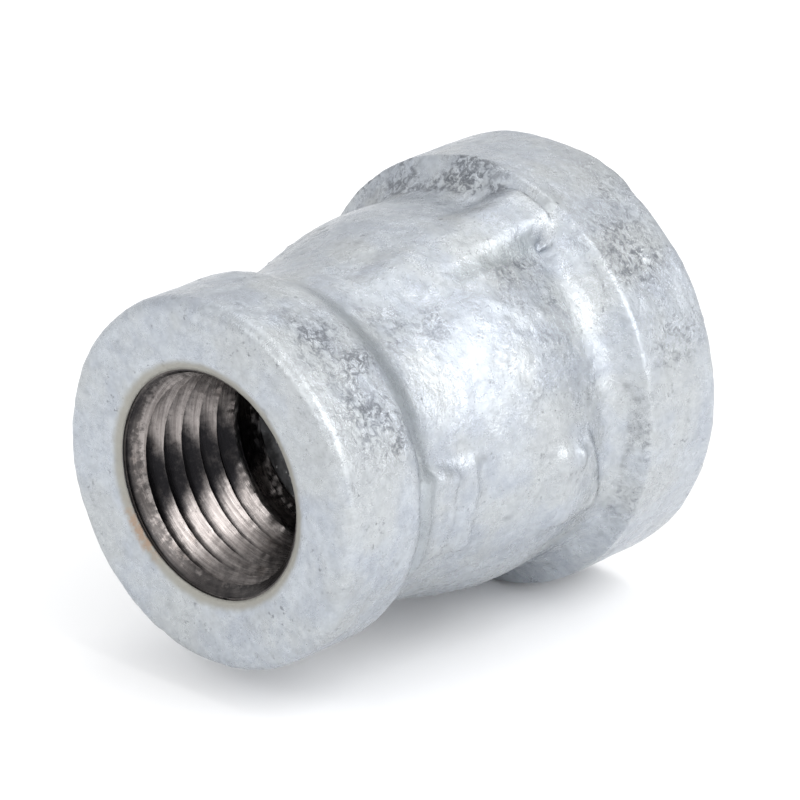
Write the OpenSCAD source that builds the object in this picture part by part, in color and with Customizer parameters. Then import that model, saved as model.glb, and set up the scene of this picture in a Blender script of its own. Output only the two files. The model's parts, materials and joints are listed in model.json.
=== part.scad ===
// Reducing coupling in malleable iron, 3/8 to 1/4 inch taper pipe thread, hot-dip galvanised.
// The pipe axis lies along Y. The large mouth faces +Y at y = 0, and the small mouth faces -Y.
// The casting is dipped in zinc first and tapped afterwards, so both threads are bare iron.

/* [Overall] */
// Length from face to face
overall_length = 28.7; // [27:0.1:32]
// Thickness of the zinc skin
zinc_t = 0.12; // [0.08:0.01:0.2]
// Depth of the shallow countersink in each face
sink_l = 0.3; // [0.25:0.05:0.4]

/* [Large end] */
// Diameter over the zinc of the large band
large_band_d = 25.78; // [25.4:0.02:27]
// Length of the large band, from its face to the shoulder
large_band_l = 6.1; // [5.8:0.1:7]
// Diameter of the countersink in the large face
large_sink_d = 18.1; // [17.8:0.1:19]
// Diameter of the lip where the countersink meets the large thread
large_lip_d = 16.5; // [16.3:0.1:16.6]
// Diameter over the thread crests of the large end
large_crest_d = 15.2; // [15:0.1:15.4]
// Diameter over the thread roots at the large mouth
large_root_d = 17.06; // [16.9:0.02:17.2]

/* [Small end] */
// Diameter over the zinc of the small band
small_band_d = 21.44; // [21.2:0.02:22.4]
// Length of the small band, from its face to the waist
small_band_l = 5.2; // [5:0.1:6]
// Diameter of the countersink in the small face
small_sink_d = 14.6; // [14.4:0.1:15.2]
// Diameter of the lip where the countersink meets the small thread
small_lip_d = 13.0; // [12.9:0.05:13.1]
// Diameter over the thread crests of the small end
small_crest_d = 11.8; // [11.6:0.1:11.9]
// Diameter over the thread roots at the small mouth
small_root_d = 13.62; // [13.5:0.02:13.8]

/* [Thread] */
// Thread pitch, 18 turns to the inch at both ends
pitch = 1.411; // [1.41:0.001:1.42]
// Number of thread turns at each end
turns = 7; // [5:1:7]
// Width of the flat at the root of the thread
root_flat = 0.06; // [0.02:0.01:0.1]

/* [Body] */
// Largest diameter of the body, between the waist and the dip
body_d = 22.4; // [22:0.1:23]
// Diameter of the dip in front of the large band
dip_d = 22.1; // [21.6:0.1:22.4]
// Diameter of the waist behind the small band
waist_d = 19.4; // [19:0.1:19.8]
// Radius on the outer edges of the bands
edge_r = 0.8; // [0.5:0.1:1]

/* [Passage] */
// Diameter of the cored passage next to the small thread
small_core_d = 12.4; // [12.1:0.1:12.8]
// Diameter of the cored passage next to the large thread
large_core_d = 15.8; // [15.4:0.1:16]

/* [Ribs] */
// Clock angle of the first tall rib, from the top towards +X
tall_rib_at = 20; // [0:1:45]
// Clock angle of the first low rib, from the top towards +X
low_rib_at = 97; // [80:1:120]
// Width of a rib as an angle
rib_angle = 20; // [14:1:26]
// Height of a low rib over the body
low_rib_h = 0.4; // [0.2:0.05:0.6]
// Height of the gate pad over the waist
gate_pad_h = 0.6; // [0.3:0.05:0.8]

/* [Hidden] */
$fn = 128;

large_r = large_band_d / 2;
small_r = small_band_d / 2;
body_r = body_d / 2;
dip_r = dip_d / 2;
waist_r = waist_d / 2;
thread_taper = 1 / 32;
flank_slope = tan(30);
past = 1;
arc_steps = 5;

// The revolved outline starts between two ribs
seam_at = 90 - (tall_rib_at + low_rib_at) / 2;

// Heights above the large face, along the pipe axis
dip_h = large_band_l + 1.7;
bulge_h = large_band_l + 5.1;
waist_h = overall_length - small_band_l - 2.6;
band_back_h = overall_length - small_band_l;

// Depth of the first root below the countersink
first_root = 0.35;
// How far the taps cut the zinc back beyond the lip
cut_back = 0.12;

// Height at which each thread ends inside
thread_l = first_root + turns * pitch - 0.1;
large_thread_h = sink_l + thread_l;
small_thread_h = overall_length - sink_l - thread_l;

// A quarter arc from angle a to angle b
function arc(r, h, radius, a, b) = [
    for (i = [0:arc_steps])
        let (t = a + (b - a) * i / arc_steps)
        [r + radius * cos(t), h + radius * sin(t)]
];

// An S-shaped run from one radius and height to another, without its last point
function blend(r0, h0, r1, h1, steps) = [
    for (i = [0:steps - 1])
        let (t = i / steps)
        [r0 + (r1 - r0) * (1 - cos(180 * t)) / 2, h0 + (h1 - h0) * t]
];

// The outside outline in radius and height, from the large countersink to the small one
function outline() = concat(
    [[large_lip_d / 2, sink_l], [large_sink_d / 2, 0]],
    arc(large_r - edge_r, edge_r, edge_r, -90, 0),
    blend(large_r, large_band_l, dip_r, dip_h, 7),
    blend(dip_r, dip_h, body_r, bulge_h, 4),
    blend(body_r, bulge_h, waist_r, waist_h, 12),
    blend(waist_r, waist_h, small_r, band_back_h, 8),
    [[small_r, band_back_h]],
    arc(small_r - edge_r, overall_length - edge_r, edge_r, 0, 90),
    [[small_sink_d / 2, overall_length], [small_lip_d / 2, overall_length - sink_l]]
);

// The outline moved inwards by t, square to itself
function inset(points, t) = [
    for (i = [0:len(points) - 1])
        let (
            before = points[max(i - 1, 0)],
            after = points[min(i + 1, len(points) - 1)],
            along = (after - before) / norm(after - before)
        )
        points[i] + t * [-along[1], along[0]]
];

// One thread's grooves from the lip inwards, as closed rings with their crests on one diameter
function thread_rings(lip_h, dir, lip_r, crest_r, root_r) = [
    for (i = [0:turns - 1])
        let (
            near_r = i == 0 ? lip_r : crest_r,
            r = root_r - i * pitch * thread_taper,
            near_root = first_root + i * pitch - root_flat / 2,
            far_root = near_root + root_flat
        )
        for (p = [
            [near_r, near_root - (r - near_r) * flank_slope],
            [r, near_root],
            [r, far_root],
            [crest_r, far_root + (r - crest_r) * flank_slope]
        ])
            [p[0], lip_h + dir * p[1]]
];

function backwards(list) = [for (i = [len(list) - 1:-1:0]) list[i]];

// Turns the height of the outlines into the pipe axis
module along_pipe() {
    rotate([90, 0, 0])
        children();
}

// The core's outline between the two threads, moved outwards by t
function core(t) = [
    [small_core_d / 2 + t, small_thread_h],
    [small_core_d / 2 + t, small_thread_h - 1],
    [large_core_d / 2 + t, large_thread_h + 1.5],
    [large_core_d / 2 + t, large_thread_h]
];

// A rib: a sector of a ring whose crest follows the given points of radius and height
module rib(clock, width, crest, t) {
    half = width / 2 - t / waist_r * 180 / PI;
    rotate([0, 0, 90 - clock - half])
        rotate_extrude(angle = 2 * half)
            polygon(concat([for (p = crest) [p[0] - t, p[1]]], [
                [waist_r - 1, crest[len(crest) - 1][1]],
                [waist_r - 1, crest[0][1]]
            ]));
}

// All the ribs and the gate pad, kept t below the zinc's surface
module ribs(t) {
    tall_crest = [
        [large_r - 0.15, large_band_l - 1.5],
        [large_r - 0.15, large_band_l + 1.2],
        [body_r + 0.65, large_band_l + 4.8],
        [waist_r + 0.3, large_band_l + 11.5]
    ];
    low_crest = [
        [body_r + low_rib_h, large_band_l - 0.5],
        [body_r + low_rib_h, large_band_l + 6],
        [waist_r + 0.6, large_band_l + 10]
    ];
    pad_crest = [
        [waist_r + gate_pad_h, band_back_h - 5 + t],
        [waist_r + gate_pad_h, band_back_h - 0.7]
    ];
    for (side = [0, 180]) {
        rib(tall_rib_at + side, rib_angle, tall_crest, t);
        rib(low_rib_at + side, rib_angle, low_crest, t);
    }
    rib(low_rib_at, rib_angle, pad_crest, t);
}

// The whole outside form with its mouths still closed
module outside(t) {
    points = inset(outline(), t);
    rotate([0, 0, seam_at])
        rotate_extrude()
            polygon(concat(points, [
                [0, points[len(points) - 1][1]],
                [0, points[0][1]]
            ]));
    ribs(t);
}

// Everything that the core and the taps leave open
module waterway() {
    large_rings = thread_rings(sink_l, 1, large_lip_d / 2, large_crest_d / 2, large_root_d / 2);
    small_lip_h = overall_length - sink_l;
    small_rings = thread_rings(small_lip_h, -1, small_lip_d / 2, small_crest_d / 2, small_root_d / 2);
    rotate_extrude()
        polygon(concat(
            [[0, -past], [large_lip_d / 2, -past]],
            large_rings,
            [[large_crest_d / 2, large_thread_h]],
            backwards(core(zinc_t)),
            [[small_crest_d / 2, small_thread_h]],
            backwards(small_rings),
            [[small_lip_d / 2, overall_length + past], [0, overall_length + past]]
        ));
}

// The casting itself, with ribs, gate pad and both tapped threads
module iron_casting() {
    color("dimgray")
        along_pipe()
            difference() {
                outside(zinc_t);
                waterway();
            }
}

// The zinc over the outside and both end faces, cut back to the threads by the taps
module outer_zinc_coat() {
    color("lightsteelblue")
        along_pipe()
            difference() {
                outside(0);
                outside(zinc_t);
                translate([0, 0, -past])
                    cylinder(r = large_lip_d / 2 + cut_back, h = sink_l + 2 * past);
                translate([0, 0, overall_length - sink_l - past])
                    cylinder(r = small_lip_d / 2 + cut_back, h = sink_l + 2 * past);
            }
}

// The zinc left inside, between the two threads
module waist_zinc_coat() {
    color("silver")
        along_pipe()
            rotate_extrude()
                polygon(concat(core(0), backwards(core(zinc_t))));
}

iron_casting();
outer_zinc_coat();
waist_zinc_coat();
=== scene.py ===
import json
import math

import bmesh
import bpy
import numpy as np
from mathutils import Matrix, Vector

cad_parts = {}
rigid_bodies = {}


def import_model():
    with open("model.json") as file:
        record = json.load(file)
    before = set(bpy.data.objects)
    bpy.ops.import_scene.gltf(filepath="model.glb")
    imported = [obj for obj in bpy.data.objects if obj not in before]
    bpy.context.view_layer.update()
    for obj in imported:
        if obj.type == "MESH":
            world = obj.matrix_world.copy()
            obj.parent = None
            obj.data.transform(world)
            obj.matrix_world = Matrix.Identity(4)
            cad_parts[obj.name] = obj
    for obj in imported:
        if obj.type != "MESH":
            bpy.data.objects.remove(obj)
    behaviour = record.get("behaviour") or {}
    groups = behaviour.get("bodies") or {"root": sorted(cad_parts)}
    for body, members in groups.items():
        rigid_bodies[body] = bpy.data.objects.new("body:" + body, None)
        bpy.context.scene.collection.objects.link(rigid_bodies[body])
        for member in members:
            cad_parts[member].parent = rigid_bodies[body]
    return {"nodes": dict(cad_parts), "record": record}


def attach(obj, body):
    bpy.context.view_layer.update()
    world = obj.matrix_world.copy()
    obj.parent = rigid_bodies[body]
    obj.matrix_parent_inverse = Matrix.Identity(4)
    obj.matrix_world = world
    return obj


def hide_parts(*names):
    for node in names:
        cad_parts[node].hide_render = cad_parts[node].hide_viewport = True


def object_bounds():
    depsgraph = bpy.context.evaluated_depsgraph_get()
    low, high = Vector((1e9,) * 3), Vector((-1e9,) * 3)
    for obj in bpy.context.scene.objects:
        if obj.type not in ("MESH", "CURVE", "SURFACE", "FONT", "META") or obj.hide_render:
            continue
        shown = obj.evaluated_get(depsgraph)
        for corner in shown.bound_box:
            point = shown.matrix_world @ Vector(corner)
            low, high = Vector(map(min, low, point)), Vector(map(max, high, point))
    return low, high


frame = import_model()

# Lengths below are in millimetres unless a note says otherwise. A place on the fitting is given by
# depth, the distance from the small face along the pipe, and clock, the angle from the top towards +X.
mm = 0.001
cadLow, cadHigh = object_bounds()
mounts = {m["name"]: m for m in frame["record"]["mounts"]}
fullLength = (cadHigh.y - cadLow.y) / mm
largeRadius = (cadHigh.x - cadLow.x) / 2 / mm
floorLevel = cadLow.z
print("frame loaded:", sorted(frame["nodes"]))


def gradientNoise(points, cell, seed):
    # smooth noise on a grid of random slopes, about -1 to 1
    rng = np.random.default_rng(seed)
    order = rng.permutation(512)
    slopes = rng.normal(size=(512, 3))
    slopes /= np.linalg.norm(slopes, axis=1)[:, None]
    scaled = points / cell
    base = np.floor(scaled).astype(np.int64)
    inside = scaled - base
    ease = inside ** 3 * (inside * (inside * 6 - 15) + 10)
    total = np.zeros(len(points))
    for cx in (0, 1):
        for cy in (0, 1):
            for cz in (0, 1):
                pick = order[(base[:, 0] + cx) & 511]
                pick = order[(pick + base[:, 1] + cy) & 511]
                pick = order[(pick + base[:, 2] + cz) & 511]
                cellCorner = np.array([cx, cy, cz])
                weight = np.abs(1 - cellCorner - ease).prod(axis=1)
                total += weight * (slopes[pick] * (inside - cellCorner)).sum(axis=1)
    return total * 1.6


def layeredNoise(points, cell, seed, layers=3, gain=0.5):
    # finer and weaker noise on top of coarse noise
    total = np.zeros(len(points))
    for k in range(layers):
        total += gradientNoise(points, cell / 2 ** k, seed + k) * gain ** k
    return total


def easeStep(x, start, end):
    t = np.clip((x - start) / (end - start), 0, 1)
    return t * t * (3 - 2 * t)


def hump(x, middle, half, soft):
    # 1 within half of the middle, falling to 0 over soft
    return 1 - easeStep(np.abs(x - middle), half, half + soft)


def angleBetween(a, b):
    # in degrees, from -180 to 180
    return (a - b + 180) % 360 - 180


def evenly(line, spacing, softness):
    # the line at even spacing, with its corners rounded
    fineStep = 0.02
    line = np.array(line, float)
    travelled = np.r_[0, np.cumsum(np.linalg.norm(np.diff(line, axis=0), axis=1))]
    fine = np.linspace(0, travelled[-1], int(travelled[-1] / fineStep))
    dense = np.stack([np.interp(fine, travelled, line[:, k]) for k in (0, 1)], axis=1)
    reach = int(3 * softness / fineStep)
    bell = np.exp(-0.5 * (np.arange(-reach, reach + 1) * fineStep / softness) ** 2)
    bell /= bell.sum()
    first, last = dense[0].copy(), dense[-1].copy()
    padded = np.concatenate([2 * first - dense[reach:0:-1], dense, 2 * last - dense[-2:-reach - 2:-1]])
    dense = np.stack([np.convolve(padded[:, k], bell, "valid") for k in (0, 1)], axis=1)
    count = int(round(travelled[-1] / spacing)) + 1
    pick = np.linspace(0, len(dense) - 1, count)
    return np.stack([np.interp(pick, np.arange(len(dense)), dense[:, k]) for k in (0, 1)], axis=1)


def outward(line):
    # unit normals on the left of the line, in radius and depth
    along = np.gradient(line, axis=0)
    along /= np.linalg.norm(along, axis=1)[:, None]
    return np.stack([-along[:, 1], along[:, 0]], axis=1)


def roundPoints(radius, depth, clock):
    # from radius, depth and clock in radians to the row frame, in millimetres
    radius, depth, clock = np.broadcast_arrays(radius, depth, clock)
    return np.stack([radius * np.sin(clock), depth - fullLength, radius * np.cos(clock)], axis=-1)


def gridFaces(rows, columns, first=0, closeRows=False):
    # quads of a lathe grid that closes round the pipe
    i = np.arange(rows if closeRows else rows - 1)[:, None]
    j = np.arange(columns)[None, :]
    a = i * columns + j
    b = i * columns + (j + 1) % columns
    c = (i + 1) % rows * columns + (j + 1) % columns
    d = (i + 1) % rows * columns + j
    return np.stack([a, b, c, d], axis=-1).reshape(-1, 4) + first


def makePiece(name, points, faces, sharpAngle=None, merge=0.0, values=None):
    # values holds one number for each point, for the finishes to read
    mesh = bpy.data.meshes.new(name)
    mesh.from_pydata((points * mm).tolist(), [], faces.tolist())
    mesh.update()
    for key, numbers in (values or {}).items():
        mesh.attributes.new(key, "FLOAT", "POINT").data.foreach_set("value", numbers.astype(np.float32))
    work = bmesh.new()
    work.from_mesh(mesh)
    if merge:
        bmesh.ops.remove_doubles(work, verts=work.verts, dist=merge * mm)
        bmesh.ops.dissolve_degenerate(work, edges=work.edges, dist=merge * mm * 0.5)
    bmesh.ops.recalc_face_normals(work, faces=work.faces)
    work.to_mesh(mesh)
    work.free()
    mesh.shade_smooth()
    if sharpAngle:
        mesh.set_sharp_from_angle(angle=math.radians(sharpAngle))
    piece = bpy.data.objects.new(name, mesh)
    bpy.context.scene.collection.objects.link(piece)
    return piece


bandShape = {
    "columns": 360,            # steps round the pipe
    "rowSpacing": 0.19,        # between rows of the zinc's surface
    "smallRadius": 10.72,
    "smallBand": 5.2,          # depth where the small band starts to fall away
    "edge": 0.65,              # rounding of both bands' front edges
    "largeBand": 6.1,          # length of the large band
    "footDepth": 20.3,         # depth where the foot of its shoulder starts to rise
    "footRadius": 2.2,         # rounding of that foot
    "footAngle": 58,
    "dipRadius": 11.05,
    "bulgeRadius": 11.2,
    "bulgeDepth": 17.5,
    "waistRadius": 9.7,
    "waistDepth": 7.8,
    "zinc": 0.12,              # thickness of the coat
    "smallSink": 7.3,          # radius of the countersink at the small face
    "largeSink": 9.05,
    "sinkDepth": 0.3,
    "cornerSoftness": 0.12,
}
threadShape = {
    "pitch": 1.411,
    "taper": 1 / 32,
    "smallRoot": 6.81,
    "largeRoot": 8.53,
    "smallLip": 6.5,           # where the countersink meets the thread
    "largeLip": 8.25,
    "smallCrest": mounts["small_end_thread"]["dims"]["r_mm"],
    "largeCrest": mounts["large_end_thread"]["dims"]["r_mm"],
    "smallStart": 111,         # clock angle at which the root passes the face
    "largeStart": 60,
    "length": 10.13,           # from the end of the countersink
    "rootFlat": 0.06,
    "crestLean": 0.04,         # how far the torn crests lean inwards
    "cutBack": 0.12,           # how far the tap cut the zinc past the lip
    "fade": 2.0,               # turns over which the thread runs out inside
}
steps = bandShape["columns"]
clockSteps = np.arange(steps) * 2 * math.pi / steps


def run(r0, d0, r1, d1, count=14):
    # an S-shaped run between two radii
    t = np.arange(count) / count
    ease = (1 - np.cos(math.pi * t)) / 2
    return [[r0 + (r1 - r0) * e, d0 + (d1 - d0) * u] for e, u in zip(ease, t)]


def corner(r, d, radius, start, end, count=8):
    # an arc round the centre r, d, between two angles in degrees
    angles = [math.radians(start + (end - start) * k / count) for k in range(count + 1)]
    return [[r + radius * math.cos(a), d + radius * math.sin(a)] for a in angles]


def outsideLine():
    # radius and depth from the small mouth, over the outside, to the large mouth
    s, t = bandShape, threadShape
    bandStart = fullLength - s["largeBand"]
    edge, foot = s["edge"], s["footRadius"]
    slope = s["sinkDepth"] / (s["smallSink"] - t["smallLip"])
    smallLip, largeLip = t["smallLip"] + t["cutBack"], t["largeLip"] + t["cutBack"]
    line = [[smallLip, slope * (s["smallSink"] - smallLip)], [s["smallSink"], 0]]
    line += corner(s["smallRadius"] - edge, edge, edge, -90, 0)
    line += run(s["smallRadius"], s["smallBand"], s["waistRadius"], s["waistDepth"], 20)
    line += run(s["waistRadius"], s["waistDepth"], s["bulgeRadius"], s["bulgeDepth"], 24)
    line += run(s["bulgeRadius"], s["bulgeDepth"], s["dipRadius"], s["footDepth"])
    line += corner(s["dipRadius"] + foot, s["footDepth"], foot, 180, 180 - s["footAngle"])
    line += [[largeRadius, bandStart]] + corner(largeRadius - edge, fullLength - edge, edge, 0, 90)
    line += [[s["largeSink"], fullLength], [largeLip, fullLength - slope * (s["largeSink"] - largeLip)]]
    return line


ribShape = {
    "waver": 0.14,             # unevenness of the outlines below
    "tallClock": (19, 200),
    "nearEdge": 13.0,          # from the middle of a tall rib to the foot of its side towards +X, in degrees
    "nearSoft": (14.0, 7.5),   # run of that side, where the rib starts and at the shoulder
    "farHalf": 1.0,
    "farSoft": 13.0,
    "tallCrest": ((9.0, 9.7), (12.5, 10.65), (15.0, 11.2), (18.0, 11.9),      # depth and radius
                  (20.5, 12.4), (22.0, 12.72), (22.6, 12.9), (28.7, 12.9)),
    "tallSoft": 0.30,          # softness of the line where a tall rib leaves the body
    "lowClock": (103, 279),
    "lowHalf": 10.0,
    "lowSoft": 6.5,
    "lowHeight": 0.44,
    "lowStart": 15.4,
    "lowEnd": 19.9,
    "padClock": 100,           # the gate pad behind the small band
    "padHalf": 14.0,
    "padSoft": 5.5,
    "padStart": 6.1,
    "padEnd": 9.1,             # depth where the upper step of the gate pad ends
    "padStepEnd": 10.7,
    "padHeight": 0.46,
    "padStepHeight": 0.30,
    "crease": 0.13,            # depth of the crease between the small band and the pad
    "creaseDepth": 6.15,
    "creaseClock": (66, 114),
    "notch": (21.15, 30.8, 0.26, 1.5, 0.6),   # depth, clock, half length, half angle, how deep
}


def lift(x, soft):
    # x where it is positive and nearly 0 elsewhere, with a soft start
    return (x + np.sqrt(x * x + soft * soft)) / 2


def ribbedRadius(radius, depth, clock):
    # adds the ribs and the gate pad to a plain radius; clock in degrees
    s = ribShape
    waver = s["waver"] * (np.sin(0.9 * depth + 0.17 * clock) + 0.7 * np.sin(2.3 * depth - 0.29 * clock + 1))
    depth, clock = depth + waver, clock + 3.5 * waver
    crest = np.array(s["tallCrest"])
    soft = 0.02 + s["tallSoft"] * (1 - easeStep(depth, 19, 22))
    height = lift(np.interp(depth, crest[:, 0], crest[:, 1]) - radius, soft) * easeStep(depth, 8.0, 10.0)
    nearSoft = np.interp(depth, (12, 18), s["nearSoft"])
    added = np.zeros(len(radius))
    for middle in s["tallClock"]:
        away = angleBetween(clock, middle)
        near = 1 - easeStep(away, s["nearEdge"] - nearSoft, s["nearEdge"])
        far = 1 - easeStep(-away, s["farHalf"], s["farHalf"] + s["farSoft"])
        added += height * near * far
    for middle in s["lowClock"]:
        side = hump(angleBetween(clock, middle), 0, s["lowHalf"], s["lowSoft"])
        reach = easeStep(depth, s["lowStart"], s["lowStart"] + 1.6)
        end = s["lowEnd"] + 0.045 * angleBetween(clock, middle)
        added += s["lowHeight"] * side * reach * (1 - easeStep(depth, end, end + 0.6))
    side = hump(angleBetween(clock, s["padClock"]), 0, s["padHalf"], s["padSoft"])
    upper = s["padHeight"] * (1 - easeStep(depth, s["padEnd"], s["padEnd"] + 0.6))
    lower = s["padStepHeight"] * (1 - easeStep(depth, s["padStepEnd"], s["padStepEnd"] + 0.8))
    added += easeStep(depth, s["padStart"], s["padStart"] + 0.9) * side * np.maximum(upper, lower)
    creaseReach = easeStep(clock, s["creaseClock"][0] - 8, s["creaseClock"][0] + 4)
    creaseReach = creaseReach * (1 - easeStep(clock, s["creaseClock"][1], s["creaseClock"][1] + 10))
    added -= s["crease"] * creaseReach * np.exp(-((depth - s["creaseDepth"]) / 0.2) ** 2)
    depthAt, clockAt, length, angle, deep = s["notch"]
    away = ((depth - depthAt) / length) ** 2 + (angleBetween(clock, clockAt) / angle) ** 2
    added -= deep * np.exp(-away)
    return radius + added


zincShape = {
    "seed": 11,
    "swell": 0.055,            # slow unevenness of the casting
    "lump": 0.030,
    "grain": 0.020,
    "scale": 0.045,            # height of the scaly patches
    "pitCount": 420,
    "pitRadius": (0.10, 0.20),           # least radius, and how much larger one may be
    "pitHeight": (-0.02, -0.05),
    "noduleCount": 150,
    "noduleRadius": (0.14, 0.26),
    "noduleHeight": (0.015, 0.045),
    "edgePitDepth": 22.1,                # the row of pits along the shoulder's edge
    "edgePitClocks": (79, 122, 3.4),     # first, last and step
    "smallRing": (6.7, 7.5),             # radii between which the ring round each mouth fades
    "largeRing": (8.45, 9.25),
    "rustClock": 230,
    "rustRing": (6.9, 7.4),
}
# Where the zinc is scaly: depth, clock, half length, half angle, strength
scalyPatches = (
    (3.6, 45, 2.6, 30, 0.9), (4.6, 66, 1.4, 10, 0.8), (18.4, 40, 2.6, 12, 1.1), (22.1, 0, 0.9, 13, 2.6),
    (21.8, -30, 1.1, 36, 1.5), (27.0, 30, 1.6, 20, 0.7), (11.0, 40, 2.0, 8, 0.4),
    (25.0, 45, 2.6, 16, 0.9), (16.5, 62, 3.5, 14, 0.5), (25.5, 70, 2.5, 8, 0.7), (9.0, 34, 1.5, 12, 0.5),
    (22.3, 105, 0.5, 26, 0.7), (4.0, 170, 2.4, 34, 0.7), (14.0, 160, 5.0, 24, 0.5), (25.2, 200, 2.4, 40, 0.8),
    (17.0, 255, 4.0, 26, 0.8), (3.5, 275, 2.4, 30, 0.8), (25.0, 310, 2.6, 30, 0.6), (12.0, 320, 4.0, 26, 0.4),
)
# Single drips and lumps: depth, clock, radius, height, which is below 0 for a pit
drips = (
    (18.25, 91.5, 0.36, 0.20), (18.2, 93.5, 0.36, 0.24), (18.15, 95.5, 0.34, 0.16),
    (19.1, 99, 0.8, 0.10), (17.6, 112, 0.9, 0.14), (8.3, 86, 0.7, 0.20), (9.4, 88, 0.55, 0.14),
    (7.3, 85, 0.5, 0.14), (16.6, 96, 0.9, 0.12), (8.0, 23, 0.35, 0.14), (18.05, 50, 0.28, 0.14),
    (15.2, 40.8, 0.4, 0.07), (24.3, 58, 0.35, 0.07), (15.6, 43, 0.4, 0.07), (5.0, 69, 0.3, -0.10),
    (20.1, 101, 0.22, -0.10), (20.3, 104, 0.22, -0.10), (20.6, 112, 0.6, 0.12), (22.6, 24, 0.7, 0.10),
    (13.0, 210, 0.6, 0.14), (6.9, 250, 0.5, 0.16), (20.0, 150, 0.5, 0.2), (11.0, 285, 0.5, 0.12),
)


def scalyMask(depth, clock):
    mask = np.zeros(len(depth))
    for middle, angle, half, halfAngle, strength in scalyPatches:
        across = np.sqrt(((depth - middle) / half) ** 2 + (angleBetween(clock, angle) / halfAngle) ** 2)
        mask = np.maximum(mask, strength * (1 - easeStep(across, 0.45, 1.25)))
    return mask


def zincRelief(points, depth, clock, onFace):
    # height of the zinc's surface over the plain shape, and how scaly it is
    s = zincShape
    calm = 1 - 0.6 * onFace
    scaly = scalyMask(depth, clock) * (1 - onFace)
    scaly *= np.clip(0.75 + 0.9 * layeredNoise(points, 2.2, s["seed"] + 60, 2), 0, 1.4)
    relief = s["swell"] * calm * layeredNoise(points, 6.0, s["seed"], 2)
    relief += s["lump"] * calm * layeredNoise(points, 1.9, s["seed"] + 10, 2)
    relief += s["grain"] * calm * layeredNoise(points, 0.8, s["seed"] + 20, 3, 0.65)
    crags = 1 - 2 * np.abs(layeredNoise(points, 0.62, s["seed"] + 30, 2, 0.6))
    relief += s["scale"] * scaly * (crags - 0.4)
    return relief, scaly


def addSpots(relief, points, spots):
    # round bumps and pits; each spot is a point, a radius and a height
    cellOf = np.floor(points).astype(np.int64)
    key = (cellOf[:, 0] + 64) * 16384 + (cellOf[:, 1] + 64) * 128 + cellOf[:, 2] + 64
    order = np.argsort(key, kind="stable")
    ranked = key[order]
    for place, radius, height in spots:
        low = np.floor(place - radius * 2.2).astype(int)
        high = np.floor(place + radius * 2.2).astype(int)
        near = []
        for cx in range(low[0], high[0] + 1):
            for cy in range(low[1], high[1] + 1):
                base = (cx + 64) * 16384 + (cy + 64) * 128 + 64
                start, end = np.searchsorted(ranked, [base + low[2], base + high[2] + 1])
                near.append(order[start:end])
        near = np.concatenate(near)
        if len(near):
            away = ((points[near] - place) ** 2).sum(axis=1) / radius ** 2
            relief[near] += height * np.exp(-1.4 * away)
    return relief


def spotList(line):
    # scattered pits and nodules, the placed drips and the pits along the shoulder's edge
    s = zincShape
    rng = np.random.default_rng(s["seed"] + 5)
    rowArea = np.r_[0, np.cumsum(np.linalg.norm(np.diff(line, axis=0), axis=1) * line[1:, 0])]

    def scattered(count, size, height):
        row = np.interp(rng.random(count) * rowArea[-1], rowArea, np.arange(len(line))).astype(int)
        clock = rng.random(count) * 2 * math.pi
        radius = ribbedRadius(line[row, 0], line[row, 1], np.degrees(clock))
        return [(place, size[0] + size[1] * rng.random() ** 2, height[0] + height[1] * rng.random())
                for place in roundPoints(radius, line[row, 1], clock)]

    spots = scattered(s["pitCount"], s["pitRadius"], s["pitHeight"])
    spots += scattered(s["noduleCount"], s["noduleRadius"], s["noduleHeight"])
    placed = list(drips)
    for clock in np.arange(*s["edgePitClocks"]):
        place = (s["edgePitDepth"] + 0.2 * rng.normal(), clock + 1.4 * rng.normal())
        placed.append((*place, 0.12 + 0.14 * rng.random(), -0.10))
    side = line[(line[:, 1] > 0.8) & (line[:, 1] < fullLength - 0.8)]
    for depth, clock, size, height in placed:
        plain = np.interp([depth], side[:, 1], side[:, 0])
        full = ribbedRadius(plain, np.array([depth]), np.array([float(clock)]))
        spots.append((roundPoints(full[0], depth, math.radians(clock)), size, height))
    return spots


def lowestNear(grid, across, along):
    # the lowest value within a few steps each way
    lowest = np.min([np.roll(grid, k, axis=1) for k in range(-across, across + 1)], axis=0)
    padded = np.pad(lowest, ((along, along), (0, 0)), "edge")
    return np.min([padded[k:k + len(grid)] for k in range(2 * along + 1)], axis=0)


def skinPoints(line, normals, sunk, detailed):
    # the outside form moved inwards by sunk, with how scaly and dented each point is, its depth and clock
    rows = len(line)
    depth = np.repeat(line[:, 1], steps)
    clock = np.tile(np.degrees(clockSteps), rows)
    plain = np.repeat(line[:, 0], steps)
    onFace = np.repeat(easeStep(np.abs(normals[:, 1]), 0.75, 0.97), steps)
    added = (ribbedRadius(plain, depth, clock) - plain) * (1 - onFace)
    if not detailed:
        added = lowestNear(added.reshape(rows, steps), 3, 1).reshape(-1)
    lifted = plain + added
    base = roundPoints(lifted, depth, np.radians(clock))
    relief, scaly = zincRelief(base, depth, clock, onFace)
    dents = np.zeros(len(relief))
    if detailed:
        smooth = relief.copy()
        relief = addSpots(relief, base, spotList(line))
        dents = np.clip((smooth - relief) / 0.09, 0, 1)
    else:
        relief = np.minimum(relief, 0.02)
    nr = np.repeat(normals[:, 0], steps)
    nd = np.repeat(normals[:, 1], steps)
    moved = roundPoints(lifted + nr * (relief - sunk), depth + nd * (relief - sunk), np.radians(clock))
    return moved, scaly, dents, depth, clock


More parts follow.
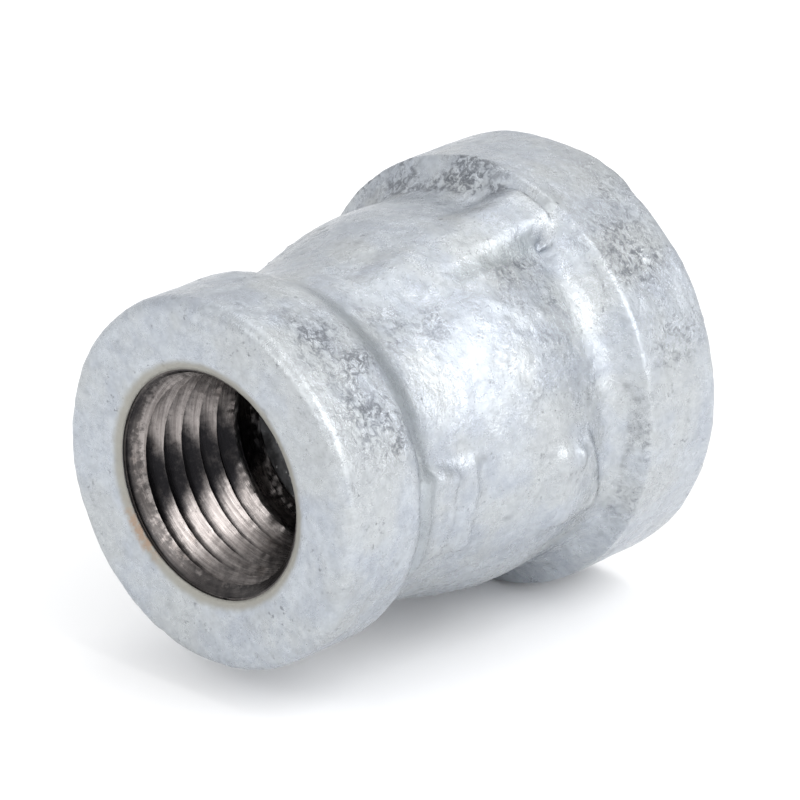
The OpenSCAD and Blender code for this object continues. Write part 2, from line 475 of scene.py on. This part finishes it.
outerLine = evenly(outsideLine(), bandShape["rowSpacing"], bandShape["cornerSoftness"])
outerNormals = -outward(outerLine)
if outerNormals[len(outerLine) // 2, 0] < 0:
    outerNormals = -outerNormals
innerPick = np.unique(np.linspace(0, len(outerLine) - 1, 64).astype(int))
skinOut, skinScaly, skinDents, skinDepth, skinClock = skinPoints(outerLine, outerNormals, 0.0, True)
skinIn = skinPoints(outerLine[innerPick], outerNormals[innerPick], bandShape["zinc"], False)[0]
outRows, inRows = len(outerLine), len(innerPick)
skinBack = skinIn.reshape(inRows, steps, 3)[::-1].reshape(-1, 3)
backFill = np.zeros(inRows * steps)
outRadius = np.repeat(outerLine[:, 0], steps)
smallRing = (1 - easeStep(outRadius, *zincShape["smallRing"])) * (skinDepth < 1)
largeRing = (1 - easeStep(outRadius, *zincShape["largeRing"])) * (skinDepth > fullLength - 1)
rustyPart = hump(angleBetween(skinClock, zincShape["rustClock"]), 0, 5, 16)
rustyPart *= (1 - easeStep(outRadius, *zincShape["rustRing"])) * (skinDepth < 1)
# the steep side of the tall rib is painted darker, as shade
wallMiddle = ribShape["tallClock"][0] + ribShape["nearEdge"] - 2.2
paintedWallShade = hump(angleBetween(skinClock, wallMiddle), 0, 1.5, 1.8) * hump(skinDepth, 17.6, 2.6, 1.2)
zincValues = {"scaly": skinScaly, "depth": skinDepth, "mouthRing": smallRing + largeRing,
              "rusty": rustyPart, "paintedShade": paintedWallShade, "dents": skinDents}
zincValues = {name: np.r_[numbers, backFill] for name, numbers in zincValues.items()}
zincFaces = gridFaces(outRows + inRows, steps, 0, True)
zincCoat = makePiece("zincCoat", np.concatenate([skinOut, skinBack]), zincFaces, values=zincValues)
print("zinc coat:", len(zincCoat.data.polygons), "faces")


ironShape = {
    "coreSmall": 6.2,          # radius of the cored passage next to the small thread
    "coreLarge": 7.9,
    "coreStepSmall": 1.0,      # straight run before the cone, at the small thread
    "coreStepLarge": 1.5,
    "tearHeight": 0.022,       # ragged tool tearing on the crests
    "seed": 71,
    "blackClock": 252,         # clock angle of the painted black reflection on both threads
    "greyClock": 150,          # and of the two painted grey reflections
    "upperClock": 325,
}


def threadRibbon(end, inward):
    # one long helical strip; end is small or large, and inward is 1 at the small mouth and -1 at the large
    s = threadShape
    root, crest, lip, start = (s[end + word] for word in ("Root", "Crest", "Lip", "Start"))
    pitch = s["pitch"]
    lipDepth = bandShape["sinkDepth"] + 0.08
    endDepth = bandShape["sinkDepth"] + s["length"]
    count = int(math.ceil((endDepth + pitch) / pitch) + 2) * steps + 1
    angle = np.arange(count)
    middle = pitch * angle / steps - pitch
    rootHere = root - s["taper"] * np.clip(middle - lipDepth, 0, None)
    fade = np.clip((endDepth - middle) / (s["fade"] * pitch), 0, 1)
    rootHere = crest + (rootHere - crest) * fade
    flat = s["rootFlat"] / 2
    crestAt = pitch / 2 + s["crestLean"] * fade
    # across the strip: down one flank from the last crest, then up the other to the next
    offsets, radii = [], []
    for t in np.arange(5) / 4:
        offsets.append(crestAt - pitch + (pitch - crestAt - flat) * t)
        radii.append(crest + (rootHere - crest) * t)
    for t in np.arange(7) / 6:
        offsets.append(flat + (crestAt - flat) * t)
        radii.append(rootHere + (crest - rootHere) * t)
    depth = middle[:, None] + np.stack(offsets, axis=1)
    radius = np.stack(radii, axis=1)
    clipped = np.clip(depth, lipDepth, endDepth)
    radius = np.where(depth >= endDepth, crest, np.maximum(radius, lip - (depth - lipDepth)))
    radius = np.where(depth <= lipDepth, lip, radius)
    width = depth.shape[1]
    firstStep = int(round(start / 360 * steps))
    clock = inward * ((angle + firstStep) % steps) * 2 * math.pi / steps
    rowDepth = clipped if inward > 0 else fullLength - clipped
    points = roundPoints(radius, rowDepth, np.repeat(clock[:, None], width, axis=1)).reshape(-1, 3)
    # torn crests: the ridge is pushed about a little, most near its top and deep inside
    flatRadius, flatClip = radius.reshape(-1), clipped.reshape(-1)
    ragged = 1 - easeStep(flatRadius, crest, crest + 0.35) + 0.2
    ragged *= easeStep(flatClip, lipDepth, lipDepth + 0.3)
    ragged *= 1 - easeStep(flatClip, endDepth - 0.3, endDepth)
    ragged *= ironShape["tearHeight"] * (1 + 3 * easeStep(flatClip, endDepth - 3.2, endDepth - 1.0))
    radial = points * np.array([1, 0, 1])
    radial /= np.linalg.norm(radial, axis=1)[:, None]
    push = ragged * layeredNoise(points * np.array([1, 0.6, 1]), 0.5, ironShape["seed"], 3, 0.6)
    points = points + radial * push[:, None]
    # painted shade lies in the roots, and painted dark reflections on three parts of the bore
    rootSide = np.clip((flatRadius - crest) / (root - crest), 0, 1)
    turned = np.degrees(np.repeat(clock, width))
    fromBlack, fromGrey, fromUpper = (angleBetween(turned, ironShape[part + "Clock"])
                                      for part in ("black", "grey", "upper"))
    shadeAndReflection = hump(fromBlack / (0.75 + rootSide), 0, 6, 24) * (0.8 + 0.25 * rootSide)
    shadeAndReflection *= easeStep(flatClip, 0.8, 1.8)
    shadeAndReflection = np.maximum(shadeAndReflection, 0.55 * hump(fromGrey, 0, 36, 30))
    shadeAndReflection = np.maximum(shadeAndReflection, 0.75 * easeStep(rootSide, 0.30, 0.95))
    shadeAndReflection = np.maximum(shadeAndReflection, (0.22 + 0.5 * rootSide) * hump(fromUpper, 0, 30, 30))
    i = np.arange(count - 1)[:, None]
    a = i * width + np.arange(width - 1)[None, :]
    faces = np.stack([a, a + 1, a + width + 1, a + width], axis=-1).reshape(-1, 4)
    # the strip's last column meets its first column one turn on
    i = np.arange(count - 1 - steps)
    seam = np.stack([i * width + width - 1, (i + steps) * width, (i + steps + 1) * width,
                     (i + 1) * width + width - 1], axis=-1)
    faces = np.concatenate([faces, seam])
    # leaves out what lies wholly past either end
    flatDepth = depth.reshape(-1)
    beyond = (flatDepth <= lipDepth)[faces].all(axis=1) | (flatDepth >= endDepth)[faces].all(axis=1)
    return points, faces[~beyond], shadeAndReflection, lipDepth


def coreLine(grow):
    # the cored passage from the small thread to the large one, made wider by grow
    s, t = ironShape, threadShape
    smallEnd = bandShape["sinkDepth"] + t["length"]
    largeEnd = fullLength - smallEnd
    return [[s["coreSmall"] + grow, smallEnd], [s["coreSmall"] + grow, smallEnd + s["coreStepSmall"]],
            [s["coreLarge"] + grow, largeEnd - s["coreStepLarge"]], [s["coreLarge"] + grow, largeEnd]]


def latheRows(line):
    # each point of the line carried once round the pipe
    line = np.array(line, float)
    return roundPoints(line[:, 0][:, None], line[:, 1][:, None], clockSteps[None, :]).reshape(-1, 3)


smallPoints, smallFaces, smallShadeAndReflection, lipDepth = threadRibbon("small", 1)
largePoints, largeFaces, largeShadeAndReflection, lipDepth = threadRibbon("large", -1)
core = coreLine(bandShape["zinc"])
coreRows = [[threadShape["smallCrest"], core[0][1]]] + core + [[threadShape["largeCrest"], core[-1][1]]]
backRows = skinPoints(outerLine[innerPick], outerNormals[innerPick], bandShape["zinc"] + 0.01, False)[0]
smallLipRing = latheRows([[threadShape["smallLip"], lipDepth]])
largeLipRing = latheRows([[threadShape["largeLip"], fullLength - lipDepth]])
shellPoints = np.concatenate([smallLipRing, backRows, largeLipRing])
corePoints = latheRows(coreRows)
allPoints = [smallPoints, largePoints, shellPoints, corePoints]
starts = np.cumsum([0] + [len(p) for p in allPoints])
allFaces = [smallFaces, largeFaces + starts[1], gridFaces(inRows + 2, steps, starts[2]),
            gridFaces(len(coreRows), steps, starts[3])]
ironValues = {"shadeAndReflection": np.r_[smallShadeAndReflection, largeShadeAndReflection, np.zeros(len(shellPoints) + len(corePoints))]}
ironBody = makePiece("ironBody", np.concatenate(allPoints), np.concatenate(allFaces), 34, 0.0015, ironValues)
print("iron body:", len(ironBody.data.polygons), "faces")

waistShape = {
    "rowSpacing": 0.25,
    "cornerSoftness": 0.15,
    "roughHeight": 0.07,       # unevenness of the cored surface under the zinc
    "roughCell": 1.1,
    "seed": 83,
}
coreInside = evenly(coreLine(0.0), waistShape["rowSpacing"], waistShape["cornerSoftness"])
coreOutside = np.array(coreLine(bandShape["zinc"]))[::-1]
insidePoints = latheRows(coreInside)
rough = waistShape["roughHeight"] * layeredNoise(insidePoints, waistShape["roughCell"], waistShape["seed"], 3)
rowNumber = np.arange(len(coreInside))
endCalm = np.repeat(np.minimum(1, np.minimum(rowNumber, rowNumber[::-1]) / 3), steps)
insideRadial = insidePoints * np.array([1, 0, 1])
insideRadial /= np.linalg.norm(insideRadial, axis=1)[:, None]
insidePoints = insidePoints + insideRadial * (rough * endCalm)[:, None]
waistZinc = makePiece("waistZinc", np.concatenate([insidePoints, latheRows(coreOutside)]),
                      gridFaces(len(coreInside) + len(coreOutside), steps, 0, True), 50)
print("waist zinc:", len(waistZinc.data.polygons), "faces")


class Finish:
    # a material whose nodes are added by short calls
    def __init__(self, name):
        self.material = bpy.data.materials.new(name)
        self.material.use_nodes = True
        self.nodes = self.material.node_tree.nodes
        self.links = self.material.node_tree.links
        self.shader = self.nodes["Principled BSDF"]
        self.place = self.add("ShaderNodeTexCoord").outputs["Object"]

    def add(self, kind, **settings):
        node = self.nodes.new(kind)
        for key, value in settings.items():
            setattr(node, key, value)
        return node

    def join(self, value, socket):
        if isinstance(value, (int, float)):
            socket.default_value = value
        elif isinstance(value, tuple):
            socket.default_value = (*value, 1.0) if len(value) == 3 else value
        else:
            self.links.new(value, socket)

    def noise(self, size, detail=3.0, rough=0.55, stretch=None, twist=0.0):
        # size is the length of one blotch in millimetres
        place = self.place
        if stretch:
            mapping = self.add("ShaderNodeMapping")
            mapping.inputs["Scale"].default_value = stretch
            self.join(place, mapping.inputs["Vector"])
            place = mapping.outputs["Vector"]
        node = self.add("ShaderNodeTexNoise")
        node.inputs["Scale"].default_value = 1 / (size * mm)
        node.inputs["Detail"].default_value = detail
        node.inputs["Roughness"].default_value = rough
        node.inputs["Distortion"].default_value = twist
        self.join(place, node.inputs["Vector"])
        return node.outputs["Fac"]

    def curve(self, value, low, high, outLow=0.0, outHigh=1.0):
        # an S-shaped change from outLow at low to outHigh at high
        node = self.add("ShaderNodeMapRange", interpolation_type="SMOOTHSTEP")
        self.join(value, node.inputs["Value"])
        for key, number in (("From Min", low), ("From Max", high), ("To Min", outLow), ("To Max", outHigh)):
            node.inputs[key].default_value = number
        return node.outputs["Result"]

    def sum(self, kind, a, b):
        node = self.add("ShaderNodeMath", operation=kind)
        self.join(a, node.inputs[0])
        self.join(b, node.inputs[1])
        return node.outputs[0]

    def blend(self, amount, a, b, kind="MIX"):
        node = self.add("ShaderNodeMix", data_type="RGBA", blend_type=kind)
        self.join(amount, node.inputs["Factor"])
        self.join(a, node.inputs["A"])
        self.join(b, node.inputs["B"])
        return node.outputs["Result"]

    def value(self, name):
        # the numbers kept with the piece's points
        return self.add("ShaderNodeAttribute", attribute_name=name).outputs["Fac"]

    def bump(self, height, strength, distance, after=None):
        node = self.add("ShaderNodeBump")
        node.inputs["Strength"].default_value = strength
        node.inputs["Distance"].default_value = distance * mm
        self.join(height, node.inputs["Height"])
        if after is not None:
            self.join(after, node.inputs["Normal"])
        return node.outputs["Normal"]

    def finish(self, color, roughness, metallic, normal):
        self.join(color, self.shader.inputs["Base Color"])
        self.join(roughness, self.shader.inputs["Roughness"])
        self.join(metallic, self.shader.inputs["Metallic"])
        self.join(normal, self.shader.inputs["Normal"])
        return self.material


zincLook = {
    "pale": (0.435, 0.465, 0.50),
    "blue": (0.345, 0.375, 0.425),
    "warm": (0.44, 0.455, 0.45),
    "speck": (0.16, 0.17, 0.185),
    "scale": (0.13, 0.14, 0.16),
    # colour of the painted shade in the waist groove and on the tall rib's steep side
    "grooveAndWallShade": (0.28, 0.305, 0.315),
    "mouth": (0.29, 0.28, 0.245),
    "rust": (0.33, 0.23, 0.165),
    "metallic": 0.74,
}


def zincFinish(name="hotDipZinc"):
    look = zincLook
    f = Finish(name)
    scaly = f.value("scaly")
    blotch = f.curve(f.noise(2.2, 5, 0.66, twist=0.6), 0.42, 0.62)
    drift = f.curve(f.noise(5.0, 4, 0.55), 0.44, 0.62)
    color = f.blend(f.sum("MULTIPLY", blotch, 0.6), look["pale"], look["blue"])
    color = f.blend(f.sum("MULTIPLY", drift, 0.5), color, look["warm"])
    mottle = f.curve(f.noise(0.5, 5, 0.72), 0.3, 0.7, 0.89, 1.08)
    tone = f.add("ShaderNodeVectorMath", operation="SCALE")
    f.join(color, tone.inputs[0])
    f.join(mottle, tone.inputs["Scale"])
    color = tone.outputs[0]
    # dark marks: a few everywhere, many where the zinc is scaly
    speckAmount = f.curve(f.noise(0.30, 3, 0.65), 0.61, 0.70)
    speckPlace = f.curve(f.noise(2.6, 3, 0.6), 0.42, 0.64, 0.12, 0.8)
    color = f.blend(f.sum("MULTIPLY", speckAmount, speckPlace), color, look["speck"])
    flakes = f.curve(f.noise(0.45, 5, 0.75, twist=0.9), 0.44, 0.62)
    flaked = f.sum("MINIMUM", f.sum("MULTIPLY", flakes, scaly), 0.8)
    color = f.blend(flaked, color, look["scale"])
    depth = f.value("depth")
    # painted shade in the waist groove and on the steep side of the tall rib
    grooveAndWallShade = f.sum("MULTIPLY", f.curve(depth, 5.4, 6.4), f.curve(depth, 8.2, 7.0))
    grooveAndWallShade = f.sum("ADD", grooveAndWallShade, f.sum("MULTIPLY", f.value("paintedShade"), 1.2))
    color = f.blend(f.sum("MULTIPLY", grooveAndWallShade, 0.5), color, look["grooveAndWallShade"])
    color = f.blend(f.sum("MULTIPLY", f.value("dents"), 0.5), color, look["speck"])
    ring = f.value("mouthRing")
    ringEdge = f.sum("ADD", ring, f.sum("MULTIPLY", f.noise(0.8, 3, 0.6), 0.5))
    color = f.blend(f.curve(ringEdge, 0.35, 1.15, 0.0, 0.9), color, look["mouth"])
    rusty = f.sum("MULTIPLY", f.value("rusty"), f.curve(f.noise(0.6, 4, 0.7), 0.38, 0.60))
    color = f.blend(f.sum("MULTIPLY", rusty, 0.9), color, look["rust"])
    rough = f.curve(f.noise(1.7, 4, 0.65), 0.3, 0.7, 0.20, 0.34)
    rough = f.sum("ADD", rough, f.sum("MULTIPLY", ring, 0.2))
    metallic = f.sum("SUBTRACT", look["metallic"], f.sum("MULTIPLY", ring, 0.4))
    normal = f.bump(f.noise(1.1, 4, 0.65), 0.5, 0.16)
    normal = f.bump(f.noise(0.34, 5, 0.75), 0.8, 0.07, normal)
    normal = f.bump(f.sum("MULTIPLY", flakes, scaly), 0.5, 0.06, normal)
    return f.finish(color, rough, metallic, normal)


ironLook = {
    "dark": (0.21, 0.188, 0.180),
    "bright": (0.36, 0.33, 0.318),
    "rust": (0.16, 0.115, 0.09),
    "deep": (0.05, 0.046, 0.045),
    # colour of the painted shade and dark reflections in the threads
    "shadeAndReflection": (0.012, 0.012, 0.014),
    "metallic": 1.0,
}


def ironFinish(name="bareIron"):
    look = ironLook
    f = Finish(name)
    # tool marks run round the bore, so they change fastest along it
    marks = f.noise(0.40, 3, 0.6, stretch=(0.10, 4.0, 0.10))
    fineMarks = f.noise(0.12, 3, 0.6, stretch=(0.12, 3.0, 0.12))
    stain = f.curve(f.noise(2.0, 5, 0.65), 0.54, 0.74)
    color = f.blend(f.curve(marks, 0.30, 0.70), look["dark"], look["bright"])
    color = f.blend(f.sum("MULTIPLY", stain, 0.4), color, look["rust"])
    dirt = f.curve(f.noise(0.30, 4, 0.7), 0.57, 0.70)
    color = f.blend(f.sum("MULTIPLY", dirt, 0.5), color, look["deep"])
    # darker at the entry of each thread and towards the core
    place = f.add("ShaderNodeSeparateXYZ")
    f.join(f.place, place.inputs[0])
    depth = f.sum("ADD", f.sum("DIVIDE", place.outputs["Y"], mm), fullLength / 2)
    fromFace = f.sum("SUBTRACT", fullLength / 2, f.sum("ABSOLUTE", depth, 0.0))
    entry = f.sum("ADD", fromFace, f.curve(f.noise(0.5, 4, 0.7), 0.3, 0.7, -0.35, 0.35))
    color = f.blend(f.curve(entry, 1.35, 0.85, 0.0, 0.75), color, look["deep"])
    color = f.blend(f.curve(entry, 7.4, 9.4, 0.0, 0.8), color, look["deep"])
    # painted shade in the thread roots and painted dark reflections on parts of the bore
    shadeAndReflectionAmount = f.sum("ADD", f.value("shadeAndReflection"), f.curve(f.noise(0.7, 4, 0.7), 0.3, 0.7, -0.12, 0.12))
    color = f.blend(f.curve(shadeAndReflectionAmount, 0.05, 0.95, 0.0, 0.98), color, look["shadeAndReflection"])
    rough = f.curve(fineMarks, 0.3, 0.7, 0.24, 0.36)
    normal = f.bump(fineMarks, 0.25, 0.015)
    normal = f.bump(f.noise(0.35, 4, 0.65), 0.2, 0.03, normal)
    return f.finish(color, rough, look["metallic"], normal)


waistLook = {
    # both colours are painted shade, far darker than the zinc of the inner coat
    "paintedShade": (0.15, 0.152, 0.16),
    "dark": (0.05, 0.05, 0.052),
    "fleck": (0.55, 0.55, 0.55),
    "metallic": 0.8,
}


def waistFinish(name="innerZinc"):
    look = waistLook
    f = Finish(name)
    # the inner coat is painted far darker than its zinc, as shade deep in the bore
    color = f.blend(f.curve(f.noise(1.0, 4, 0.6), 0.35, 0.65), look["paintedShade"], look["dark"])
    color = f.blend(f.curve(f.noise(0.35, 3, 0.6), 0.62, 0.70), color, look["fleck"])
    rough = f.curve(f.noise(0.8, 3, 0.6), 0.3, 0.7, 0.35, 0.6)
    return f.finish(color, rough, look["metallic"], f.bump(f.noise(0.4, 4, 0.7), 0.6, 0.06))


zincCoat.data.materials.append(zincFinish())
ironBody.data.materials.append(ironFinish())
waistZinc.data.materials.append(waistFinish())
for piece, node, slot in (
        (zincCoat, "outer_zinc_coat", "hot_dip_zinc"),
        (ironBody, "iron_casting", "bare_iron"),
        (waistZinc, "waist_zinc_coat", "inner_zinc")):
    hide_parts(node)
    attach(piece, "root")
print("finishes done")


studio = {
    "floorSize": 3.0,          # metres
    "floorColor": (0.93, 0.93, 0.935),
    "sky": 1.0,
    "azimuth": 42.13,          # degrees
    "elevation": 22.40,
    "lens": 225.0,
    "distance": 0.2728,        # metres from the camera to the plane of the small face's centre
    "across": -10.65,          # the small face's centre in the view, right and up of its middle
    "above": -4.741,
}
# Softboxes: name, direction from the fitting (right, up and towards the camera), distance, long side,
# short side, direction of the long side, watts
softboxes = (
    ("keyBox", (0.670, 0.393, 0.630), 0.30, 0.28, 0.16, (0.613, -0.011, -0.790), 0.57),
    ("frontBox", (-0.396, 0.252, 0.884), 0.40, 0.25, 0.12, (0.72, -0.15, -0.44), 0.38),
    ("topBox", (0.127, 0.992, 0.02), 0.40, 0.16, 0.12, (1, 0, 0), 0.17),
)


def viewAxes(azimuth, elevation):
    # the view's right, up and back
    a, e = math.radians(azimuth), math.radians(elevation)
    back = Vector((math.sin(a) * math.cos(e), -math.cos(a) * math.cos(e), math.sin(e)))
    right = Vector((math.cos(a), math.sin(a), 0))
    return right, back.cross(right), back


right, upward, back = viewAxes(studio["azimuth"], studio["elevation"])
smallFace = Vector((0, cadLow.y, 0))
cameraData = bpy.data.cameras.new("studioCamera")
cameraData.lens = studio["lens"]
cameraData.sensor_width = 36
cameraData.clip_start, cameraData.clip_end = 0.01, 20
camera = bpy.data.objects.new("studioCamera", cameraData)
aim = smallFace - right * studio["across"] * mm - upward * studio["above"] * mm
camera.location = aim + back * studio["distance"]
camera.rotation_mode = "QUATERNION"
camera.rotation_quaternion = (-back).to_track_quat("-Z", "Y")
bpy.context.scene.collection.objects.link(camera)
bpy.context.scene.camera = camera

middle = (cadLow + cadHigh) / 2
for name, (r, u, b), distance, longSide, shortSide, along, power in softboxes:
    lampData = bpy.data.lights.new(name, "AREA")
    lampData.shape = "RECTANGLE"
    lampData.size, lampData.size_y = longSide, shortSide
    lampData.energy = power
    lamp = bpy.data.objects.new(name, lampData)
    direction = (right * r + upward * u + back * b).normalized()
    sideways = (Vector(along) - direction * Vector(along).dot(direction)).normalized()
    lamp.location = middle + direction * distance
    lamp.rotation_mode = "QUATERNION"
    turned = Matrix((sideways, direction.cross(sideways), direction)).transposed()
    lamp.rotation_quaternion = turned.to_quaternion()
    bpy.context.scene.collection.objects.link(lamp)

world = bpy.data.worlds.new("studioSky")
world.use_nodes = True
world.node_tree.nodes["Background"].inputs["Color"].default_value = (1, 1, 1, 1)
world.node_tree.nodes["Background"].inputs["Strength"].default_value = studio["sky"]
bpy.context.scene.world = world
bpy.context.scene.view_settings.view_transform = "Standard"


def makeFloor():
    side = studio["floorSize"] / 2
    mesh = bpy.data.meshes.new("floor")
    corners = ((-side, -side), (side, -side), (side, side), (-side, side))
    mesh.from_pydata([(x, y, floorLevel) for x, y in corners], [], [(0, 1, 2, 3)])
    floor = bpy.data.objects.new("floor", mesh)
    bpy.context.scene.collection.objects.link(floor)
    f = Finish("paleFloor")
    f.finish(studio["floorColor"], 0.8, 0.0, f.bump(f.noise(3.0), 0.02, 0.02))
    mesh.materials.append(f.material)
    return floor


makeFloor()
print("studio done")
